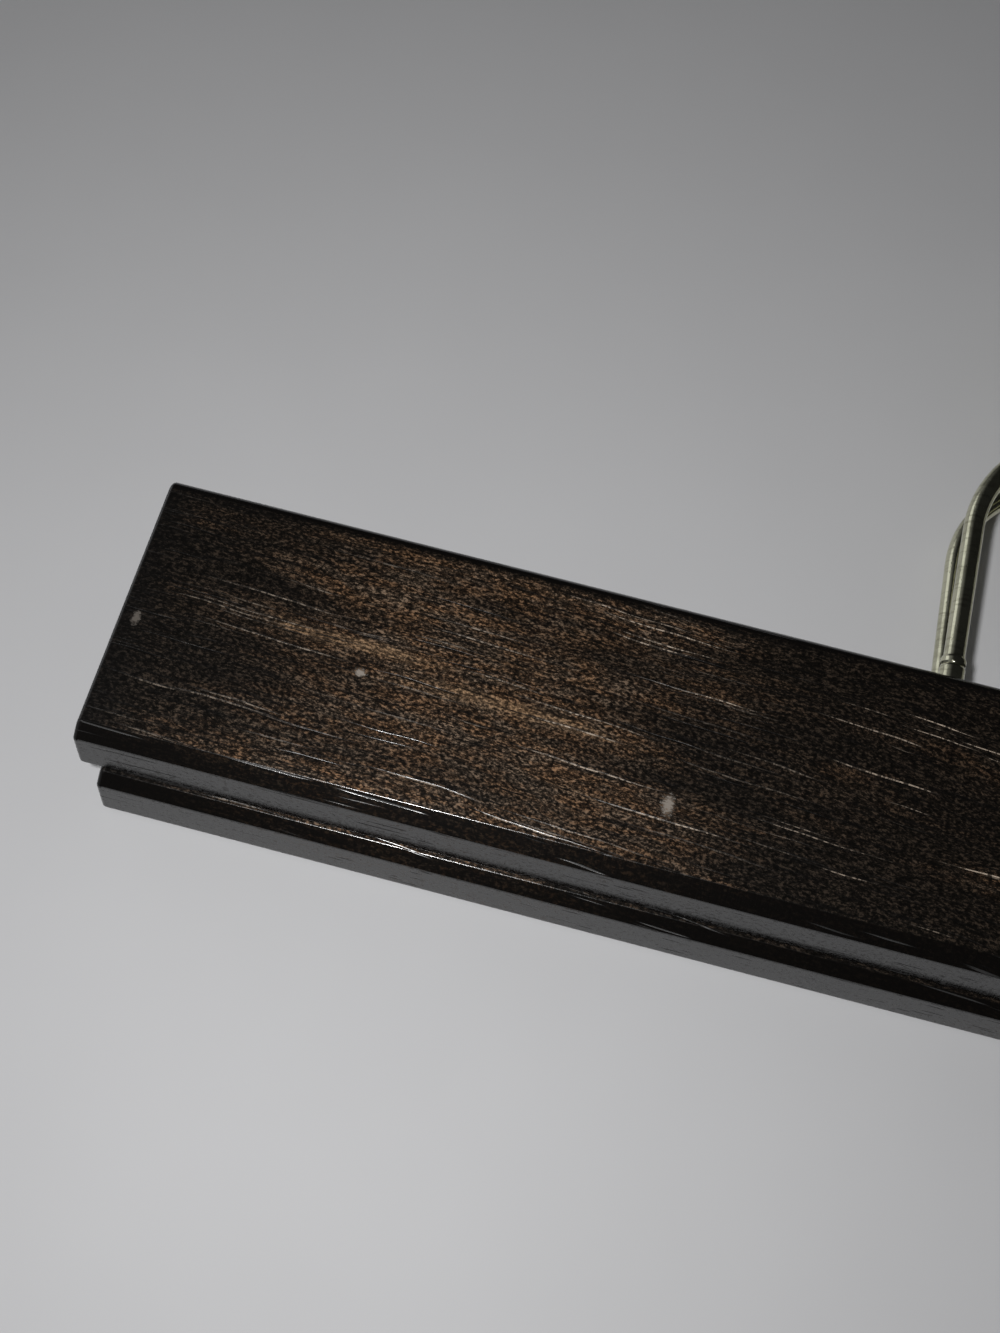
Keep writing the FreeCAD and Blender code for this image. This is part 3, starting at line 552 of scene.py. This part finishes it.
def felt_nap_tree():
    """Geometry Nodes: an uneven nap on a slab, and loose fibres that lie on it."""
    tree, given = new_tree("felt_nap", {"Nap Depth": "Float", "Fibre Density": "Float",
                                        "Fibre Length": "Float", "Fibre Radius": "Float",
                                        "Seed": "Int", "Felt": "Material"})
    nap = node(tree, "ShaderNodeTexNoise", {"Scale": NAP_SCALE, "Detail": 2.0}).outputs[0]
    inward = product(tree, nap, given["Nap Depth"], -1.0)
    normal = node(tree, "GeometryNodeInputNormal").outputs[0]
    offset = node(tree, "ShaderNodeVectorMath", {0: normal, "Scale": inward}, operation="SCALE").outputs[0]
    slab = node(tree, "GeometryNodeSetPosition", {"Geometry": given["Geometry"], "Offset": offset}).outputs[0]

    points = node(tree, "GeometryNodeDistributePointsOnFaces",
                  {"Mesh": slab, "Density": given["Fibre Density"], "Seed": given["Seed"]})
    half = math_node(tree, "MULTIPLY", given["Fibre Length"], 0.5)
    back = math_node(tree, "MULTIPLY", half, -1.0)
    bow = math_node(tree, "MULTIPLY", half, 0.5)
    ends = [node(tree, "ShaderNodeCombineXYZ", [along, across, 0.0]).outputs[0]
            for along, across in ((back, 0.0), (0.0, bow), (half, 0.0))]
    hair = node(tree, "GeometryNodeCurveQuadraticBezier",
                {"Resolution": 3, "Start": ends[0], "Middle": ends[1], "End": ends[2]}).outputs[0]
    ring = node(tree, "GeometryNodeCurvePrimitiveCircle", {"Resolution": 3, "Radius": given["Fibre Radius"]})
    tube = node(tree, "GeometryNodeCurveToMesh",
                {"Curve": hair, "Profile Curve": ring.outputs[0], "Fill Caps": True}).outputs[0]
    turn = node(tree, "FunctionNodeRandomValue", {"Max": math.tau, "Seed": given["Seed"]}).outputs[1]
    spin = node(tree, "ShaderNodeCombineXYZ", [0.0, 0.0, turn]).outputs[0]
    turned = {"Rotation": points.outputs["Rotation"], "Rotate By": spin}
    laid = node(tree, "FunctionNodeRotateRotation", turned, rotation_space="LOCAL").outputs[0]
    hairs = node(tree, "GeometryNodeInstanceOnPoints",
                 {"Points": points.outputs["Points"], "Instance": tube, "Rotation": laid}).outputs[0]
    both = node(tree, "GeometryNodeJoinGeometry").inputs[0]
    for part in (slab, hairs):
        tree.links.new(part, both)
    return end_tree(tree, both.node.outputs[0], given["Felt"])


felt_nap = felt_nap_tree()
print("felt nap tree:", len(felt_nap.nodes), "nodes")

# %% Run a tree and keep its mesh
def grown(start, tree, inputs):
    """The plain mesh that a Geometry Nodes tree makes of an object, which is used up."""
    modifier = start.modifiers.new(tree.name, "NODES")
    modifier.node_group = tree
    for item in tree.interface.items_tree:
        if item.in_out == "INPUT" and item.name in inputs:
            modifier[item.identifier] = inputs[item.name]
    start.update_tag()
    bpy.context.view_layer.update()
    seen = start.evaluated_get(bpy.context.evaluated_depsgraph_get())
    mesh = bpy.data.meshes.new_from_object(seen)
    mesh.name = start.name
    start.modifiers.remove(modifier)
    start.data = mesh
    return start


def new_object(name, mesh):
    """An object at the origin that shows a mesh."""
    made = bpy.data.objects.new(name, mesh)
    bpy.context.scene.collection.objects.link(made)
    return made


print("tree runner ready")

# %% Felt strips
FELT_CELL = 1.2 * MM
FELT_ROUND = 0.25 * MM


def felt_slab(name, low, high):
    """A closed slab with softly rounded edges and a grid fine enough for the nap."""
    mesh = bpy.data.meshes.new(name)
    shape = bmesh.new()
    bmesh.ops.create_cube(shape, size=1.0)
    middle = (Vector(low) + Vector(high)) / 2
    span = Vector(high) - Vector(low)
    for corner in shape.verts:
        corner.co = Vector(a * b for a, b in zip(corner.co, span)) + middle
    bmesh.ops.bevel(shape, geom=shape.edges[:], offset=FELT_ROUND, segments=2, affect="EDGES", profile=0.5)
    for axis in (0, 1):
        along = [edge for edge in shape.edges
                 if abs(edge.verts[0].co[axis] - edge.verts[1].co[axis]) > span[axis] / 2]
        bmesh.ops.subdivide_edges(shape, edges=along, cuts=int(span[axis] / FELT_CELL), use_grid_fill=True)
    for side in shape.faces:
        side.smooth = True
    shape.to_mesh(mesh)
    shape.free()
    return new_object(name, mesh)


felt_sizes = {"Nap Depth": 0.05 * MM, "Fibre Density": 600000.0, "Fibre Length": 1.3 * MM,
              "Fibre Radius": 0.012 * MM, "Felt": felt}
for seed, (side, body) in enumerate((("front", "front_half"), ("back", "back_half")), start=1):
    low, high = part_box(f"{side}_felt")
    strip = grown(felt_slab(f"{side}_felt_strip", low, high), felt_nap, {**felt_sizes, "Seed": seed})
    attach(strip, body)
    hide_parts(f"{side}_felt")
    print(strip.name, "faces:", len(strip.data.polygons))

# %% [markdown]
# ## Screws in the hinge leaves
# Four low screws hold each pair of leaves. They are the same screw four times, turned as the driver left
# it, so one screw is built with a real cross slot and Geometry Nodes set a copy on each place.
# The places are measured on the engineering solids, which the copies then stand for.

# %% One screw
SCREW_RINGS = 14
SCREW_SIDES = 48
SLOT_HALF = 0.42 * MM
SLOT_REACH = 1.45 * MM
SLOT_DEPTH_SHARE = 0.7
CROWN_FALL_SHARE = 0.45
TIP_START_SHARE, TIP_RADIUS_SHARE = 0.8, 0.3


def screw_mesh(head_radius, head_height, shank_radius, length):
    """A low round head with a cross slot, on a shank with a tapered tip, along +Z from its seat at 0."""
    shape = bmesh.new()
    rings = []
    for ring in range(1, SCREW_RINGS + 1):
        radius = head_radius * ring / SCREW_RINGS
        crown = head_height * (1 - CROWN_FALL_SHARE * (ring / SCREW_RINGS) ** 4)
        corners = []
        for side in range(SCREW_SIDES):
            angle = math.tau * side / SCREW_SIDES
            x, y = radius * math.cos(angle), radius * math.sin(angle)
            inside = min(abs(x), abs(y)) < SLOT_HALF and radius < SLOT_REACH
            sunk = head_height * SLOT_DEPTH_SHARE if inside else 0.0
            corners.append(shape.verts.new((x, y, crown - sunk)))
        rings.append(corners)
    lower = [(head_radius, 0.0), (shank_radius, 0.0),
             (shank_radius, -length * TIP_START_SHARE), (shank_radius * TIP_RADIUS_SHARE, -length)]
    for radius, level in lower:
        rings.append([shape.verts.new((radius * math.cos(math.tau * side / SCREW_SIDES),
                                       radius * math.sin(math.tau * side / SCREW_SIDES), level))
                      for side in range(SCREW_SIDES)])
    for outer, inner in zip(rings[1:], rings[:-1]):
        for side in range(SCREW_SIDES):
            after = (side + 1) % SCREW_SIDES
            shape.faces.new((inner[side], outer[side], outer[after], inner[after]))
    shape.faces.new(rings[0])
    shape.faces.new(rings[-1][::-1])
    bmesh.ops.recalc_face_normals(shape, faces=shape.faces[:])
    mesh = bpy.data.meshes.new("leaf_screw")
    shape.to_mesh(mesh)
    shape.free()
    return mesh


def clusters(numbers, gap):
    """Middles of the groups that sorted numbers fall into, where groups are more than gap apart."""
    groups = []
    for number in sorted(numbers):
        if groups and number - groups[-1][-1] < gap:
            groups[-1].append(number)
        else:
            groups.append([number])
    return [(group[0] + group[-1]) / 2 for group in groups]


SCREW_GAP = 1 * MM
screw_lines = clusters([v.co.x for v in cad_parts["front_leaf_screws"].data.vertices], SCREW_GAP)
print("screws across a jaw, mm:", [round(x / MM, 2) for x in screw_lines])

# %% Screw tree
def screw_row_tree():
    """Geometry Nodes: a copy of one screw on every point, turned at random about its own axis."""
    tree, given = new_tree("screw_row", {"Screw": "Object", "Flip": "Float", "Seed": "Int",
                                         "Plating": "Material"})
    points = node(tree, "GeometryNodeMeshToPoints", {"Mesh": given["Geometry"]}).outputs[0]
    screw = node(tree, "GeometryNodeObjectInfo", {"Object": given["Screw"]}).outputs["Geometry"]
    turn = node(tree, "FunctionNodeRandomValue", {"Max": math.tau, "Seed": given["Seed"]}).outputs[1]
    spin = node(tree, "ShaderNodeCombineXYZ", [given["Flip"], 0.0, turn]).outputs[0]
    row = node(tree, "GeometryNodeInstanceOnPoints", {"Points": points, "Instance": screw, "Rotation": spin})
    return end_tree(tree, row.outputs[0], given["Plating"])


screw_row = screw_row_tree()
SCREW_SIZES = 2.6 * MM, 0.5 * MM, 1.4 * MM, 6 * MM
pattern = new_object("screw_pattern", screw_mesh(*SCREW_SIZES))
for seed, (side, body) in enumerate((("front", "front_half"), ("back", "back_half")), start=5):
    low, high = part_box(f"{side}_leaf_screws")
    seat = low[2] + SCREW_SIZES[1] if side == "front" else high[2] - SCREW_SIZES[1]
    level = (low[1] + high[1]) / 2
    places = bpy.data.meshes.new(f"{side}_screw_row")
    places.from_pydata([(x, level, seat) for x in screw_lines], [], [])
    inputs = {"Screw": pattern, "Flip": math.pi if side == "front" else 0.0, "Seed": seed, "Plating": zinc}
    screws = grown(new_object(f"{side}_screw_row", places), screw_row, inputs)
    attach(screws, body)
    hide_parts(f"{side}_leaf_screws")
    print(screws.name, "faces:", len(screws.data.polygons))
bpy.data.objects.remove(pattern)

# %% [markdown]
# ## Finishes on the engineering solids
# Most solids already have the right shape, so they stay and only change their material.
# A table from finish to nodes is easier to check than an assignment on every object.

# %% Dress the solids
DRESSED = {
    front_wood: ["front_jaw"],
    back_wood: ["back_jaw"],
    brass: ["front_bail", "back_bail"]
    + [f"{side}_{end}_ferrule" for side in ("front", "back") for end in ("left", "right")],
    hook_brass: ["hook", "hook_washer"],
    zinc: ["hinge_rod", "rod_cap_left", "rod_cap_right", "hook_yoke"]
    + [f"{side}_{end}_leaf" for side in ("front", "back") for end in ("left", "right")],
    spring_steel: ["spring_left", "spring_right"],
}
for material, names in DRESSED.items():
    for name in names:
        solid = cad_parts[name]
        for place in solid.material_slots:
            place.material = material
    print(material.name, "on", len(names), "solids")

# %% [markdown]
# ## Table, light and camera
# The hanger lies on a pale table. The light that matters sits beside the lens, a little to its left: it
# puts a thin bright line on each crisp brow and leaves the facet under it dark. A dim world with a pale
# left side and a window there gives the wire its bright and its dark side. A broad lamp behind the hanger
# only lifts matt surfaces: it leaves the mirrored room as it is, and other views get a brighter table.
# The camera looks down steeply from the front.

# %% Table
TABLE_HALF = 1.6
CLOUD_SIZE = 30 * MM, 30 * MM, 30 * MM
TABLE_GREYS = (0.585, 0.585, 0.595, 1), (0.615, 0.615, 0.625, 1)


def table_top():
    """A large plain sheet under the hanger."""
    mesh = bpy.data.meshes.new("table_top")
    corners = [(-TABLE_HALF, -TABLE_HALF, 0), (TABLE_HALF, -TABLE_HALF, 0),
               (TABLE_HALF, TABLE_HALF, 0), (-TABLE_HALF, TABLE_HALF, 0)]
    mesh.from_pydata(corners, [], [(0, 1, 2, 3)])
    top = new_object("table_top", mesh)
    material, tree, shader, place = finish("pale_table")
    mottle = stretched_noise(tree, place, CLOUD_SIZE, detail=3.0)
    colour = mix(tree, mottle, *TABLE_GREYS)
    tree.links.new(colour, shader.inputs["Base Color"])
    shader.inputs["Roughness"].default_value = 0.6
    shader.inputs["Specular IOR Level"].default_value = 0.25
    mesh.materials.append(material)
    return top


table = table_top()
table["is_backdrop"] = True
print("table:", table.name)

# %% Light
def soft_lamp(name, spot, aim, width, watts):
    """A square lamp that faces a point."""
    data = bpy.data.lights.new(name, "AREA")
    data.size = width
    data.energy = watts
    lamp = bpy.data.objects.new(name, data)
    lamp.location = spot
    lamp.rotation_euler = (Vector(aim) - Vector(spot)).to_track_quat("-Z", "Y").to_euler()
    bpy.context.scene.collection.objects.link(lamp)
    return lamp


LENS_PLACE = Vector((-82.4, -88.2, 230.1)) * MM
LENS_AIM = Vector((-92.4, 5.4, 18.7)) * MM
key = soft_lamp("key_lamp", (-0.118, -0.092, 0.26), LENS_AIM, width=0.016, watts=0.565)
fill = soft_lamp("fill_lamp", (0.3, 0.95, 0.5), (0, 0, 0), width=1.5, watts=1.2)
fill.visible_glossy = False
print("lamps:", key.name, fill.name)

# %% Room
ROOM_LEVELS = 0.014, 0.26
WINDOW_SIDE = -0.84, 0.5, 0.21
WINDOW_LEVEL = 0.5
ROOM_TINT = 0.97, 0.98, 1.0, 1
world = bpy.data.worlds.new("studio")
bpy.context.scene.world = world
world.use_nodes = True
sky = world.node_tree
direction = node(sky, "ShaderNodeTexCoord").outputs["Generated"]
sides = node(sky, "ShaderNodeSeparateXYZ", [direction]).outputs
left = step(sky, sides[0], -0.2, -1.0, *ROOM_LEVELS)
towards = node(sky, "ShaderNodeVectorMath", [direction, WINDOW_SIDE], operation="DOT_PRODUCT")
window = step(sky, towards.outputs["Value"], 0.93, 0.985, 0.0, WINDOW_LEVEL)
sky.links.new(math_node(sky, "ADD", left, window), sky.nodes["Background"].inputs["Strength"])
sky.nodes["Background"].inputs["Color"].default_value = ROOM_TINT
print("world:", world.name)

# %% Camera
SENSOR = 36.0
PHOTO_HEIGHT = 1333
FOCAL_PIXELS = 1500
LENS_ROLL = math.radians(8.66)
lens = bpy.data.cameras.new("camera")
lens.sensor_fit = "VERTICAL"
lens.sensor_height = SENSOR
lens.lens = SENSOR * FOCAL_PIXELS / PHOTO_HEIGHT
lens.clip_start = 0.01
camera = bpy.data.objects.new("camera", lens)
camera.location = LENS_PLACE
facing = (LENS_AIM - LENS_PLACE).to_track_quat("-Z", "Y")
camera.rotation_euler = (facing @ Quaternion((0, 0, 1), LENS_ROLL)).to_euler()
bpy.context.scene.collection.objects.link(camera)
bpy.context.scene.camera = camera
bpy.context.scene.view_settings.view_transform = "Standard"
print("lens, mm:", round(lens.lens, 1))

# %% [markdown]
# ## Size
# The size of the dressed hanger is printed.

# %% Size
low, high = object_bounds()
print("size, mm:", [round((b - a) / MM, 2) for a, b in zip(low, high)])
